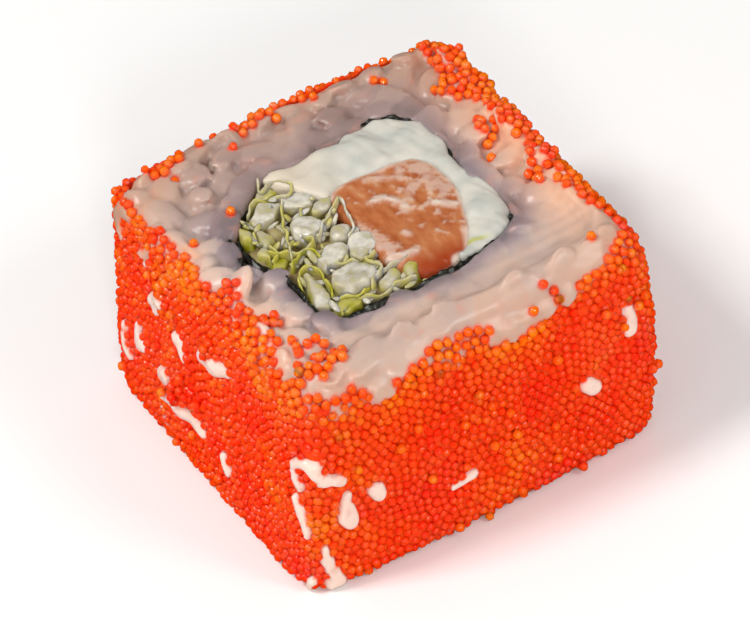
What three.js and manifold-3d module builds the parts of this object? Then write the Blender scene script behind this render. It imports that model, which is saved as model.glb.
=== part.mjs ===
// One piece of an inside-out sushi roll, standing on a cut face: a block of rice pressed square round
// a nori-wrapped filling of salmon, cream cheese and shredded cabbage, in a coat of flying-fish roe.
// Millimetres, +Z up. The origin is the middle of the base, and X and Y run square to the pressed sides.
import * as THREE from "three";
import { mergeVertices } from "three/addons/utils/BufferGeometryUtils.js";
import Module from "manifold-3d";

const wasm = await Module();
wasm.setup();

// Driving dimensions.
const HEIGHT = 24; // between the two knife cuts
const CENTRE = { x: 0.9, y: 1.2 }; // of the rice block at the cut face, from the middle of its filling
const HALF_X = 17.9; // rice block at its upper edge, centre to side, without the roe
const HALF_Y = 19.1;
const SQUARENESS = { top: 22, base: 13 }; // exponents of the block's superellipse outline
const BOW = 0.7; // how far the two Y sides bow outward in the middle
const SAG = { x: 1.2, y: 0.4 }; // how much further out the base stands on each side
const LEAN = 2.3; // how far the base has slid towards -X
const SIDE_BULGE = 0.4; // how far the sides belly out half way up
const TOP_ROUND = { near: 3.2, side: 2.4, far: 1.8 }; // radius of the rice's upper edge, near being -Y
const BASE_ROUND = 1.2;
const ROE_EDGE = { near: 14, side: 20 }; // how far over that round the roe reaches, in degrees
const RICE_LUMPS = 0.22; // relief of the grains pressed into the block
const ROE_COAT = 1; // one layer of eggs
const GAP = 0.3; // between neighbouring pieces
const NORI = 0.4; // thickness of the softened sheet
const NORI_OVERLAP = 5; // length of sheet laid over its own start
const NORI_STANDS = 0.2; // above the rice, and clear of the base
const SALMON_TOP = HEIGHT - 0.5;
const CHEESE_TOP = HEIGHT - 0.1;
const CABBAGE_TOP = HEIGHT - 0.9;

// Rice grains that stand out through the roe.
const GRAIN = { length: 5.6, width: 2.6, depth: 2.2, stands: 0.35 };
const GRAINS_ON_A_FAR_SIDE = 5;

// On the -X side and the -Y side: how far along, how far up, the grain's tilt in degrees, its relative size.
const NEAR_GRAINS = {
  "-x": [
    [13.4, 19.8, 10, 0.35],
    [11, 15.9, 30, 0.6],
    [18.2, 6.4, -56, 0.45],
    [15, 9.4, -60, 0.5],
    [6.3, 13.2, -35, 0.45],
    [-1, 16.3, 20, 0.95],
    [10.3, 7.7, 0, 0.45],
    [6.4, 5.4, 4, 1.3],
  ],
  "-y": [
    [16.5, 15.3, 80, 0.6],
    [11.2, 9.9, 20, 0.4],
    [-16.4, 13.8, -25, 0.5],
    [-15.9, 9, 80, 0.7],
    [-12.7, 9.7, 0, 0.35],
    [-3.7, 6.4, 10, 0.5],
  ],
};

// Resolution of the faceted solids.
const ROUND_STEPS = 64; // round the block
const CORNER_STEPS = 0.6; // how much closer together they stand at its corners
const NORI_STEP = 0.8;
const LOOP_POINTS = 44;

// Where the nori bends as it goes round the filling, seen from above.
const NORI_BENDS = [
  [-11.7, 5.6],
  [-10.5, -3.9],
  [-10.3, -9.4],
  [-2, -11.1],
  [4.6, -10.8],
  [11.2, -7.9],
  [11.3, 2],
  [11.5, 9.8],
  [7.6, 13.1],
  [1.4, 12.1],
  [-5.8, 11.8],
];

const SALMON_BENDS = [
  [-1.2, 6],
  [4, 6.4],
  [8.4, 5.2],
  [9.3, -0.6],
  [5.4, -9],
  [1.6, -9.9],
  [-1.4, -6.4],
  [-1.4, 0],
];

// The line between the cabbage and the cream cheese, from the far side of the filling to the near one.
const DIVIDE = [
  [-8.2, 16],
  [-1.6, 5.2],
  [3.4, -4],
  [4.6, -16],
];

// ---- Curves and solids ----

// A smooth closed loop through a few points, as evenly spaced points with their outward normals.
function loopThrough(bends, count) {
  const points = bends.map(([x, y]) => new THREE.Vector3(x, y, 0));
  const curve = new THREE.CatmullRomCurve3(points, true, "centripetal");
  curve.arcLengthDivisions = 600;
  const turns = THREE.ShapeUtils.area(points) > 0 ? 1 : -1;
  return Array.from({ length: count }, (_, i) => {
    const at = curve.getPointAt(i / count);
    const along = curve.getTangentAt(i / count);
    return { x: at.x, y: at.y, nx: along.y * turns, ny: -along.x * turns };
  });
}

function moved(loop, outward) {
  return loop.map((p) => new THREE.Vector2(p.x + p.nx * outward, p.y + p.ny * outward));
}

// A geometry's closed surface as a manifold solid.
function solidOf(geometry) {
  const bare = geometry.clone();
  bare.deleteAttribute("normal");
  bare.deleteAttribute("uv");
  const merged = mergeVertices(bare, 1e-4);
  return new wasm.Manifold(
    new wasm.Mesh({
      numProp: 3,
      vertProperties: merged.attributes.position.array,
      triVerts: new Uint32Array(merged.index.array),
    }),
  );
}

// The largest body of a solid, without crumbs cut loose or pinholes sealed inside it.
function mainBody(solid) {
  return solid.decompose().reduce((best, body) => (body.volume() > best.volume() ? body : best));
}

function geometryOf(solid) {
  const mesh = solid.getMesh();
  const geometry = new THREE.BufferGeometry();
  geometry.setAttribute("position", new THREE.BufferAttribute(mesh.vertProperties, 3));
  geometry.setIndex(new THREE.BufferAttribute(mesh.triVerts, 1));
  geometry.computeVertexNormals();
  return geometry;
}

// An upright prism on an outline, its edges eased by a small bevel inside the outline.
function prism(outline, from, to, ease = 0) {
  const geometry = new THREE.ExtrudeGeometry(new THREE.Shape(outline), {
    depth: to - from - 2 * ease,
    bevelEnabled: ease > 0,
    bevelThickness: ease,
    bevelSize: ease,
    bevelOffset: -ease,
    bevelSegments: 2,
  });
  geometry.translate(0, 0, from + ease);
  return solidOf(geometry);
}

// A closed surface from rings of equal length. It either closes on itself from the last ring to the first,
// or has each end ring fanned to that ring's middle.
function skin(rings, closesOnItself) {
  const across = rings[0].length;
  const positions = rings.flat().flatMap((p) => [p.x, p.y, p.z]);
  const index = [];
  const quads = closesOnItself ? rings.length : rings.length - 1;
  for (let r = 0; r < quads; r++) {
    for (let i = 0; i < across; i++) {
      const next = (i + 1) % across;
      const above = (r + 1) % rings.length;
      const [a, b] = [r * across + i, r * across + next];
      const [c, d] = [above * across + next, above * across + i];
      index.push(a, b, c, a, c, d);
    }
  }
  if (!closesOnItself) {
    for (const [r, faces] of [[0, -1], [rings.length - 1, 1]]) {
      const middle = positions.length / 3;
      for (const axis of ["x", "y", "z"]) {
        positions.push(rings[r].reduce((sum, p) => sum + p[axis], 0) / across);
      }
      for (let i = 0; i < across; i++) {
        const next = (i + 1) % across;
        const [a, b] = faces > 0 ? [i, next] : [next, i];
        index.push(r * across + a, r * across + b, middle);
      }
    }
  }
  const geometry = new THREE.BufferGeometry();
  geometry.setAttribute("position", new THREE.Float32BufferAttribute(positions, 3));
  geometry.setIndex(index);
  return solidOf(geometry);
}

// ---- The pressed block of rice ----

// A point on the block's outline at a height, or `out` millimetres outside it, at an angle round it.
function outlinePoint(angle, z, out = 0) {
  const down = THREE.MathUtils.clamp(1 - z / HEIGHT, 0, 1) ** 1.5;
  const exponent = THREE.MathUtils.lerp(SQUARENESS.top, SQUARENESS.base, down);
  const halfX = HALF_X + SAG.x * down + out;
  const halfY = HALF_Y + SAG.y * down + out;
  const x = Math.abs(Math.cos(angle) / halfX) ** exponent;
  const y = Math.abs(Math.sin(angle) / halfY) ** exponent;
  const radius = (x + y) ** (-1 / exponent);
  const point = new THREE.Vector2(radius * Math.cos(angle), radius * Math.sin(angle));
  point.y += CENTRE.y + BOW * (point.y / halfY) * Math.cos((Math.PI * point.x) / (2 * halfX));
  point.x += CENTRE.x - LEAN * down;
  return point;
}

// The outline point with the outline's outward normal, at a height.
function outlineAt(angle, z) {
  const step = 1e-3;
  const [back, here, on] = [angle - step, angle, angle + step].map((a) => outlinePoint(a, z));
  const along = on.sub(back).normalize();
  return { x: here.x, y: here.y, nx: along.y, ny: -along.x };
}

// Relief of grains about three millimetres across, as a share from -1 to 1.
function lumps(x, y, z) {
  return Math.sin(1.9 * x + 0.8 * z) * Math.cos(1.7 * y - 0.9 * z + 0.6) * Math.cos(0.4 * z + 0.3 * x);
}

// How near a side's direction is to -Y: 1 there, 0 at the two X sides and -1 at the far side.
function nearness(angle) {
  return THREE.MathUtils.clamp(-1.5 * Math.sin(angle), -1, 1);
}

// The radius of the upper edge, which the knife dragged down at the near side.
function topRound(angle) {
  const near = nearness(angle);
  return THREE.MathUtils.lerp(TOP_ROUND.side, near > 0 ? TOP_ROUND.near : TOP_ROUND.far, Math.abs(near));
}

// Levels of a side's profile. Each gives, for a skin laid `off` millimetres out and an angle round the
// block, the distance out from the outline and the height. The roundings keep their centres, so the skin
// stays that far away.
function footLevel(turn) {
  const reach = (off) => BASE_ROUND + off;
  return (off) => ({
    out: reach(off) * Math.cos(turn(off)) - BASE_ROUND,
    z: reach(off) * Math.sin(turn(off)) + BASE_ROUND,
  });
}

function wallLevel(share) {
  return (off, angle) => ({ out: off, z: THREE.MathUtils.lerp(BASE_ROUND, HEIGHT - topRound(angle), share) });
}

function shoulderLevel(turn) {
  return (off, angle) => {
    const radius = topRound(angle);
    const reach = radius + off;
    return {
      out: reach * Math.cos(turn(angle)) - radius,
      z: reach * Math.sin(turn(angle)) + HEIGHT - radius,
    };
  };
}

// The ring of points round the block at one level of the profile.
function ringAt(level, off) {
  return Array.from({ length: ROUND_STEPS }, (_, i) => {
    const even = (2 * Math.PI * i) / ROUND_STEPS;
    const angle = even + (CORNER_STEPS / 4) * Math.sin(4 * even);
    const { out, z } = level(off, angle);
    const { x, y } = outlinePoint(angle, z);
    const belly = SIDE_BULGE * Math.sin((Math.PI * THREE.MathUtils.clamp(z, 0, HEIGHT)) / HEIGHT);
    const fade = THREE.MathUtils.smoothstep(z, 0, 3);
    const p = outlinePoint(angle, z, out + belly + RICE_LUMPS * fade * lumps(x, y, z));
    return new THREE.Vector3(p.x, p.y, z);
  });
}

const WALL_LEVELS = [0.25, 0.5, 0.75].map(wallLevel);

function riceBlock() {
  const foot = [-90, -45, 0].map((turn) => footLevel(() => THREE.MathUtils.degToRad(turn)));
  const shoulder = [0, 25, 50, 75].map((turn) => shoulderLevel(() => THREE.MathUtils.degToRad(turn)));
  const sides = [...foot, ...WALL_LEVELS, ...shoulder].map((level) => ringAt(level, 0));
  const rim = sides.at(-1);
  const cutFace = [0.94, 0.8, 0.66, 0.52].map((share) =>
    rim.map((p) => {
      const [x, y] = [p.x * share, p.y * share];
      return new THREE.Vector3(x, y, HEIGHT - 0.25 + RICE_LUMPS * lumps(x, y, 0));
    }),
  );
  return skin([...sides, ...cutFace], false);
}

// ---- Grains that stand out through the roe ----

// The two far sides have theirs at places that follow the golden ratio, spread out but not in rows.
function* grainPlaces() {
  for (const [side, grains] of Object.entries(NEAR_GRAINS)) {
    for (const [along, z, tilt, size] of grains) {
      const angle =
        side === "-x" ? Math.atan2(along - CENTRE.y, -HALF_X) : Math.atan2(-HALF_Y, along - CENTRE.x);
      yield { angle, z, tilt, size };
    }
  }
  const golden = (Math.sqrt(5) - 1) / 2;
  for (let side = 0; side < 2; side++) {
    for (let k = 0; k < GRAINS_ON_A_FAR_SIDE; k++) {
      const along = (k + 0.5) / GRAINS_ON_A_FAR_SIDE;
      yield {
        angle: (Math.PI / 2) * (side - 0.5 + along),
        z: THREE.MathUtils.lerp(4, HEIGHT - 6, (golden * (k + 3 * side + 1)) % 1),
        tilt: THREE.MathUtils.lerp(-75, 75, (golden * (5 * k + 2 * side)) % 1),
        size: 0.5 + 0.4 * ((golden * (7 * k + side)) % 1),
      };
    }
  }
}

function grainSolid(place, grow) {
  const p = outlineAt(place.angle, place.z);
  const geometry = new THREE.SphereGeometry(1, 8, 4);
  const [length, width] = [GRAIN.length * place.size, GRAIN.width * Math.max(place.size, 0.6)];
  geometry.scale(length / 2 + grow, GRAIN.depth / 2 + grow, width / 2 + grow);
  geometry.rotateY(THREE.MathUtils.degToRad(place.tilt));
  geometry.rotateZ(Math.atan2(p.ny, p.nx) - Math.PI / 2);
  const out = GRAIN.stands + SIDE_BULGE * Math.sin((Math.PI * place.z) / HEIGHT);
  geometry.translate(p.x + p.nx * out, p.y + p.ny * out, place.z);
  return solidOf(geometry);
}

const grains = [...grainPlaces()];

// ---- The coat of roe ----

// The coat's upper edge wanders up and down the rounded shoulder.
function roeEdge(angle) {
  const reach = THREE.MathUtils.lerp(ROE_EDGE.side, ROE_EDGE.near, Math.max(nearness(angle), 0));
  return THREE.MathUtils.degToRad(reach + 9 * Math.sin(5 * angle + 1) + 5 * Math.sin(11 * angle));
}

function roeCoat() {
  // The turn, below the horizontal, at which a skin that far out meets the ground.
  const footTurn = (off) => -Math.asin(BASE_ROUND / (BASE_ROUND + off));
  const foot = [1, 0.5, 0].map((share) => footLevel((off) => share * footTurn(off)));
  const shoulder = [0, 0.5, 1].map((share) => shoulderLevel((angle) => share * roeEdge(angle)));
  const wall = (off) => [...foot, ...WALL_LEVELS, ...shoulder].map((level) => ringAt(level, off));
  const outer = wall(GAP + ROE_COAT);
  const inner = wall(GAP);
  let coat = skin([...outer, ...inner.reverse()], true);
  for (const place of grains) {
    coat = coat.subtract(grainSolid(place, GAP));
  }
  return mainBody(coat);
}

// ---- The nori sheet ----

// The sheet is one strip: once round the filling, then on over its own start, a gap further out,
// where its end lifts into the rice.
function noriStrip(thickness, low, high) {
  const count = Math.round(72 / NORI_STEP);
  const loop = loopThrough(NORI_BENDS, count);
  const lap = Math.round(NORI_OVERLAP / NORI_STEP);
  const rings = [];
  for (let i = 0; i <= count + lap - 1; i++) {
    const p = loop[i % count];
    const lifted = THREE.MathUtils.smoothstep(i, count - 5, count - 1) * (NORI + GAP + 0.05);
    const tail = THREE.MathUtils.smoothstep(i, count + lap - 4, count + lap - 1) * 0.8;
    const middle = lifted + tail;
    const wave = 0.15 * Math.sin(0.9 * i) + 0.1 * Math.sin(2.3 * i);
    const corner = (side, z) =>
      new THREE.Vector3(
        p.x + p.nx * (middle + (side * thickness) / 2),
        p.y + p.ny * (middle + (side * thickness) / 2),
        z,
      );
    rings.push([corner(-1, low), corner(-1, high + wave), corner(1, high + wave), corner(1, low)]);
  }
  return skin(rings, false);
}

// ---- The filling ----

// A half plane on one side of the dividing line, kept half a gap away from it.
function halfOfFilling(side) {
  const shift = (side * GAP) / 2 / Math.SQRT1_2;
  const line = DIVIDE.map(([x, y]) => new THREE.Vector2(x + shift, y));
  const far = side * 30;
  const outline = [...line, new THREE.Vector2(far, -16), new THREE.Vector2(far, 16)];
  return prism(side > 0 ? outline : outline.reverse(), -1, HEIGHT + 5);
}

// The shreds heap up a little: lumps in a sunflower's spiral, each turned its own way.
function cabbageHeap() {
  const turn = THREE.MathUtils.degToRad(137.5);
  const lumpsOnTop = [];
  for (let k = 0; k < 12; k++) {
    const geometry = new THREE.SphereGeometry(1, 7, 5);
    geometry.scale(1.6 + 0.9 * Math.abs(Math.sin(3 * k)), 1.3, 0.7 + 0.3 * Math.cos(5 * k));
    geometry.rotateZ(2.4 * k);
    const reach = 2.5 * Math.sqrt(k + 0.5);
    const [x, y] = [0.7 * reach * Math.cos(k * turn) - 6, reach * Math.sin(k * turn)];
    geometry.translate(x, y, CABBAGE_TOP - 0.15);
    lumpsOnTop.push(solidOf(geometry));
  }
  const outline = moved(loopThrough(NORI_BENDS, LOOP_POINTS), -NORI / 2 - GAP);
  const heap = lumpsOnTop.reduce((whole, lump) => whole.add(lump), prism(outline, 0, CABBAGE_TOP, 0.2));
  return heap.intersect(prism(outline, 0, HEIGHT + 5));
}

// ---- The piece ----

const block = riceBlock();
const cavity = moved(loopThrough(NORI_BENDS, LOOP_POINTS * 2), NORI / 2 + GAP);
let rice = grains.reduce((whole, place) => whole.add(grainSolid(place, 0)), block);
rice = rice.subtract(prism(cavity, -1, HEIGHT + 5));
rice = mainBody(rice.subtract(noriStrip(NORI + 2 * GAP, -1, HEIGHT + 5)));

const nori = noriStrip(NORI, NORI_STANDS, HEIGHT + NORI_STANDS);
const insideNori = moved(loopThrough(NORI_BENDS, LOOP_POINTS), -NORI / 2 - GAP);
const salmonLoop = loopThrough(SALMON_BENDS, LOOP_POINTS);
const salmon = prism(moved(salmonLoop, 0), 0, SALMON_TOP, 0.3);
const salmonAndGap = prism(moved(salmonLoop, GAP), -1, HEIGHT + 5);
const cheese = prism(insideNori, 0, CHEESE_TOP, 0.3).intersect(halfOfFilling(1)).subtract(salmonAndGap);
const cabbage = cabbageHeap().intersect(halfOfFilling(-1)).subtract(salmonAndGap);

const pieces = [
  { name: "rice", solid: rice, colour: "#e6cfc4", roughness: 0.45 },
  { name: "roe_coat", solid: roeCoat(), colour: "#f0501c", roughness: 0.25 },
  { name: "nori", solid: nori, colour: "#1d2119", roughness: 0.6 },
  { name: "salmon", solid: salmon, colour: "#bd7447", roughness: 0.4 },
  { name: "cream_cheese", solid: cheese, colour: "#dcd8cb", roughness: 0.5 },
  { name: "cabbage", solid: cabbage, colour: "#c4c38a", roughness: 0.4 },
];

const roll = new THREE.Group();
for (const { name, solid, colour, roughness } of pieces) {
  const material = new THREE.MeshStandardMaterial({ color: colour, roughness, metalness: 0 });
  const mesh = new THREE.Mesh(geometryOf(solid), material);
  mesh.name = name;
  roll.add(mesh);
}

const box = new THREE.Box3().setFromObject(roll);
const middle = box.getCenter(new THREE.Vector3());
roll.position.set(-middle.x, -middle.y, -box.min.z);

export default roll;
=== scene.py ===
"""One piece of an inside-out sushi roll, standing on a knife cut: sushi rice pressed square round a
nori-wrapped filling of salmon, cream cheese and shredded cabbage, in a coat of flying-fish roe."""

import math

import bpy
import numpy as np
from mathutils import Matrix, Vector, noise
from mathutils.bvhtree import BVHTree
from mathutils.kdtree import KDTree


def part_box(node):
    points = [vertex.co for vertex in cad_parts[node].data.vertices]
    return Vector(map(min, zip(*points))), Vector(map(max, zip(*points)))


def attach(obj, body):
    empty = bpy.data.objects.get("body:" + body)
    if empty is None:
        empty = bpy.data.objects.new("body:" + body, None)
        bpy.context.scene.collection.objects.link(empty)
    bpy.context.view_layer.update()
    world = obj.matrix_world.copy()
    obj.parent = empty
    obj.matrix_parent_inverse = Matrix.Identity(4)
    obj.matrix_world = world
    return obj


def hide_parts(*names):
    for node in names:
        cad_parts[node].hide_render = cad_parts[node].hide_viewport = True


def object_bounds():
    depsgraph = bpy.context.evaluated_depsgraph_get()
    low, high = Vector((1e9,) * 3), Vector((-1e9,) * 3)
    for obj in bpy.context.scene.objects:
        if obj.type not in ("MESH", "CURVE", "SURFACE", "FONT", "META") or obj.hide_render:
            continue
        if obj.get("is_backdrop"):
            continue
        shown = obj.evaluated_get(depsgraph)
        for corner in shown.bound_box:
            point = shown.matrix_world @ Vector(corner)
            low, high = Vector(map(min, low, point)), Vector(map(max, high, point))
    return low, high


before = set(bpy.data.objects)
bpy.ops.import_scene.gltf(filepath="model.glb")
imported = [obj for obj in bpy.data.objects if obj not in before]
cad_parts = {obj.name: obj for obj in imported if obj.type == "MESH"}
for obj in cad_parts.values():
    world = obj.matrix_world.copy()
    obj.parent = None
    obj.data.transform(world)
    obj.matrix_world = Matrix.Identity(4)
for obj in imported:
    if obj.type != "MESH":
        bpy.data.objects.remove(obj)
cad_low, cad_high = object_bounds()
MM = 0.001

# ---- View, light and table ----
# The piece stands alone on a white table in a bright studio. A long lens looks down on the cut face from
# its front left corner, a little rolled. Soft lamps stand above it: left, front right and front left.


def hex_colour(code):
    """A linear RGBA colour from an sRGB hex code."""
    parts = [int(code[i : i + 2], 16) / 255 for i in (1, 3, 5)]
    return (*[p / 12.92 if p <= 0.04045 else ((p + 0.055) / 1.055) ** 2.4 for p in parts], 1)


def add_node(tree, kind, inputs=(), stops=(), **settings):
    """A shader node with its settings, its ramp's stops, and its sockets filled by values or by links."""
    node = tree.nodes.new("ShaderNode" + kind)
    for name, value in settings.items():
        setattr(node, name, value)
    for i, (position, code) in enumerate(stops):
        stop = node.color_ramp.elements[i] if i < 2 else node.color_ramp.elements.new(position)
        stop.position, stop.color = position, hex_colour(code)
    for socket, value in dict(inputs).items():
        if isinstance(value, bpy.types.NodeSocket):
            tree.links.new(value, node.inputs[socket])
        else:
            node.inputs[socket].default_value = value
    return node


def new_material(name, **plain):
    """A material with its shader's plain values set by socket name, spaces written as underscores."""
    material = bpy.data.materials.new(name)
    material.use_nodes = True
    shader = material.node_tree.nodes["Principled BSDF"]
    for socket, value in plain.items():
        shader.inputs[socket.replace("_", " ")].default_value = value
    return material, material.node_tree, shader


aim = (cad_low + cad_high) / 2 + Vector((0, 0, -0.6 * MM))
azimuth, elevation, lean = (math.radians(angle) for angle in (-23.5, 41, 10))
away = Vector((math.sin(azimuth), -math.cos(azimuth), math.tan(elevation))).normalized()
distance = 455 * MM
bpy.ops.object.camera_add(location=aim + distance * away)
camera = bpy.context.object
turn = away.to_track_quat("Z", "Y").to_matrix() @ Matrix.Rotation(-lean, 3, "Z")
camera.rotation_euler = turn.to_euler()
camera.data.lens = 222
camera.data.clip_start = 0.01
bpy.context.scene.camera = camera


def softbox(place, size, watts):
    """A soft rectangular lamp that faces the piece."""
    place = Vector(place)
    bpy.ops.object.light_add(type="AREA", location=place)
    light = bpy.context.object
    light.rotation_euler = (place - aim).to_track_quat("Z", "Y").to_euler()
    light.data.shape = "RECTANGLE"
    light.data.size, light.data.size_y = size
    light.data.energy = watts


softbox((-0.35, 0.1, 0.55), (0.16, 0.16), 2.4)
softbox((0.3, -0.5, 0.5), (0.16, 0.16), 1.3)
softbox((-0.25, -0.6, 0.35), (0.12, 0.12), 1.9)

world = bpy.data.worlds.new("studio")
bpy.context.scene.world = world
world.use_nodes = True
world.node_tree.nodes["Background"].inputs["Color"].default_value = hex_colour("#ffffff")
world.node_tree.nodes["Background"].inputs["Strength"].default_value = 0.52
# The walls are far away and dim, so that wet things mirror only the lamps.
world.cycles_visibility.glossy = False
bpy.context.scene.view_settings.view_transform = "Standard"

bpy.ops.mesh.primitive_plane_add(size=3, location=(0, 0, -0.05 * MM))
table = bpy.context.object
table.name = "table"
# White laminate: it bounces the light back and shows a faint blush under the roe.
laminate, _, _ = new_material("white_laminate", Base_Color=hex_colour("#efeeec"), Roughness=0.5)
table.data.materials.append(laminate)
table.visible_glossy = False
table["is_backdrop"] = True


# ---- Rice ----
# Short-grain rice, boiled, dressed with vinegar and pressed into a block by a bamboo mat. The grains are
# soft, moist and sticky, so they run together where they touch. The knife shears those at the cut faces and
# smears them along the near edge, where it left the block.

# Sizes here and below are in millimetres.
RICE_GRAIN = (5.6, 2.8, 2.5)  # length, width, depth
GRAINS_APART = 2.5
RICE_MESH = 0.33
SOFT_MESH = 0.4  # the mesh of the other soft pieces
FLUSH = 1.3  # how far the roe stands out from the block
random = np.random.default_rng(11)


def pick(piece):
    bpy.ops.object.select_all(action="DESELECT")
    piece.select_set(True)
    bpy.context.view_layer.objects.active = piece


def apply_modifier(piece, kind, **settings):
    pick(piece)
    modifier = piece.modifiers.new(kind.lower(), kind)
    for name, value in settings.items():
        setattr(modifier, name, value)
    bpy.ops.object.modifier_apply(modifier=modifier.name)


def copy_of(node, name):
    """A copy of a node of the frame, its loose triangles merged, to be worked on."""
    piece = bpy.data.objects.new(name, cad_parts[node].data.copy())
    piece.data.name = name
    piece.data.materials.clear()
    bpy.context.collection.objects.link(piece)
    pick(piece)
    bpy.ops.object.mode_set(mode="EDIT")
    bpy.ops.mesh.select_all(action="SELECT")
    bpy.ops.mesh.remove_doubles(threshold=0.01 * MM)
    bpy.ops.mesh.normals_make_consistent(inside=False)
    bpy.ops.object.mode_set(mode="OBJECT")
    return piece


def even_skin(piece, mesh=SOFT_MESH, smooth=0.7, times=0):
    """Remeshes a piece to closed skins of an even mesh, and smooths them."""
    apply_modifier(piece, "REMESH", mode="VOXEL", voxel_size=mesh * MM)
    if times:
        apply_modifier(piece, "SMOOTH", factor=smooth, iterations=times)


def joined(name, pieces):
    bpy.ops.object.select_all(action="DESELECT")
    for piece in pieces:
        piece.select_set(True)
    bpy.context.view_layer.objects.active = pieces[0]
    bpy.ops.object.join()
    pieces[0].name = pieces[0].data.name = name
    return pieces[0]


def read_points(piece, what="co"):
    flat = np.empty(len(piece.data.vertices) * 3)
    piece.data.vertices.foreach_get(what, flat)
    return flat.reshape(-1, 3)


def move_points(piece, places):
    piece.data.vertices.foreach_set("co", np.asarray(places, np.float32).ravel())
    piece.data.update()


def keep_values(piece, name, values):
    """Keeps a number for each vertex, for the material to read."""
    layer = piece.data.attributes.new(name, "FLOAT", "POINT")
    layer.data.foreach_set("value", np.asarray(values, np.float32).ravel())


def surface_of(piece):
    faces = [tuple(p.vertices) for p in piece.data.polygons]
    return BVHTree.FromPolygons(read_points(piece).tolist(), faces)


def distance_to(surface, places):
    """How far each place is from a surface, in millimetres."""
    return np.array([surface.find_nearest(place)[3] for place in places]) / MM


def nest_of(places):
    """A tree of places, to find the one nearest to a spot in."""
    nest = KDTree(len(places))
    for i, place in enumerate(places):
        nest.insert(place, i)
    nest.balance()
    return nest


def noise_at(places, layer=0):
    """Smooth noise from -1 to 1 at each place, or at each place of one layer where they are flat."""
    return np.array([noise.noise(Vector((*place, layer)[:3])) for place in places])


def roughen(piece, size, height):
    """Relief of bumps about `size` apart and `height` from hollow to crest."""
    texture = bpy.data.textures.new("relief", "CLOUDS")
    texture.noise_scale = size
    apply_modifier(piece, "DISPLACE", texture=texture, texture_coords="LOCAL", strength=height, mid_level=0.5)


def swell(piece, by):
    """Grows a piece on every side."""
    move_points(piece, read_points(piece) + read_points(piece, "normal") * by)


def stay_on_table(piece, low=0.0):
    places = read_points(piece)
    places[:, 2] = np.maximum(places[:, 2], low)
    move_points(piece, places)


def finish_piece(piece, material, slot, *nodes):
    """The piece gets its material, rides with the food, and stands for its nodes; the slot is not used."""
    piece.data.materials.clear()
    piece.data.materials.append(material)
    piece.data.polygons.foreach_set("use_smooth", [True] * len(piece.data.polygons))
    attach(piece, "root")
    if nodes:
        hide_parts(*nodes)


def joined_copies(name, model, placed, **values):
    """One mesh of many copies of a model, from each copy's points, with values kept for each copy."""
    count, points = placed.shape[:2]
    faces = [tuple(p.vertices) for p in model.data.polygons]
    every = [tuple(v + k * points for v in face) for k in range(count) for face in faces]
    mesh = bpy.data.meshes.new(name)
    mesh.from_pydata(placed.reshape(-1, 3).tolist(), [], every)
    piece = bpy.data.objects.new(name, mesh)
    bpy.context.collection.objects.link(piece)
    for value, numbers in values.items():
        keep_values(piece, value, np.broadcast_to(np.asarray(numbers).reshape(count, -1), (count, points)))
    return piece


def unit(vectors):
    return vectors / np.linalg.norm(vectors, axis=-1, keepdims=True)


def ramp(values, low, high):
    """0 up to low, 1 from high on, and a smooth step between them."""
    share = np.clip((values - low) / (high - low), 0, 1)
    return share * share * (3 - 2 * share)


# One grain: an egg-shaped body, its length along X, nipped at the end where the germ was.
bpy.ops.object.select_all(action="DESELECT")
bpy.ops.mesh.primitive_uv_sphere_add(segments=14, ring_count=9, radius=0.5, rotation=(0, math.pi / 2, 0))
grain = bpy.context.object
bpy.ops.object.transform_apply(rotation=True)
for vertex in grain.data.vertices:
    vertex.select = vertex.co.x > 0.3
for group in (grain.data.edges, grain.data.polygons):
    for part in group:
        part.select = all(grain.data.vertices[v].select for v in part.vertices)
bpy.ops.object.mode_set(mode="EDIT")
bpy.ops.transform.resize(value=(1, 0.8, 0.75))
bpy.ops.transform.translate(value=(0, 0.06, -0.05))
bpy.ops.object.mode_set(mode="OBJECT")
grain_points = read_points(grain)

block = surface_of(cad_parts["rice"])
# The heart of the filling, from which places across the cut are measured.
heart = sum(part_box("nori"), Vector()) / 2 + Vector((0.11, -1.03, 0)) * MM


def from_heart(places):
    """Where places lie across the cut from the heart of the filling, in millimetres."""
    return (np.asarray(places)[..., :2] - np.array(heart.xy)) / MM


def cut_face(x, y, side=1):
    """The block's surface at a place on its upper cut face, or on the lower one with side -1."""
    start = Vector((x, y, (12 + 30 * side) * MM))
    spot, normal, _, _ = block.ray_cast(start, Vector((0, 0, -side)))
    if spot and (spot.z > 19.6 * MM if side > 0 else spot.z < 0.6 * MM):
        return spot, normal
    return None


def shoulder_rise(places, normals):
    """How far the rice swells out over its shaped upper edge, to meet the roe flush, in millimetres."""
    radial = unit(places * (1, 1, 0))
    out, up = (normals * radial).sum(-1), normals[..., 2]
    # On the far side it bulges already.
    less = 1 - 0.7 * ramp(places[..., 1] / MM, 15, 19)
    return FLUSH * 0.8 * less * ramp(4 * np.clip(out, 0, 1) * np.clip(up, 0, 1), 0.1, 0.9)


def smeared(places):
    """How far the knife dragged the soft rice smooth: 1 on the near band, 0 at the far and left sides."""
    x, y = from_heart(places).T
    return ramp(-y + 0.2 * x, 8.5, 13)


def lay_body(spot, normal, along, sizes, sunk, softness):
    """A grain's points: its middle sunk below the spot, and what stands above the spot pressed flat."""
    spot, normal = np.array(spot), np.array(normal)
    along = unit(np.array(along))
    side = unit(np.cross(normal, along))
    axes = np.array([along, side, np.cross(along, side)])
    body = (grain_points * np.array(sizes) * MM) @ axes + spot - sunk * MM * normal
    up = (body - spot) @ normal / MM
    flat = -softness * np.logaddexp(0, -up / softness)
    return body + ((flat - up) * MM)[:, None] * normal


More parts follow.
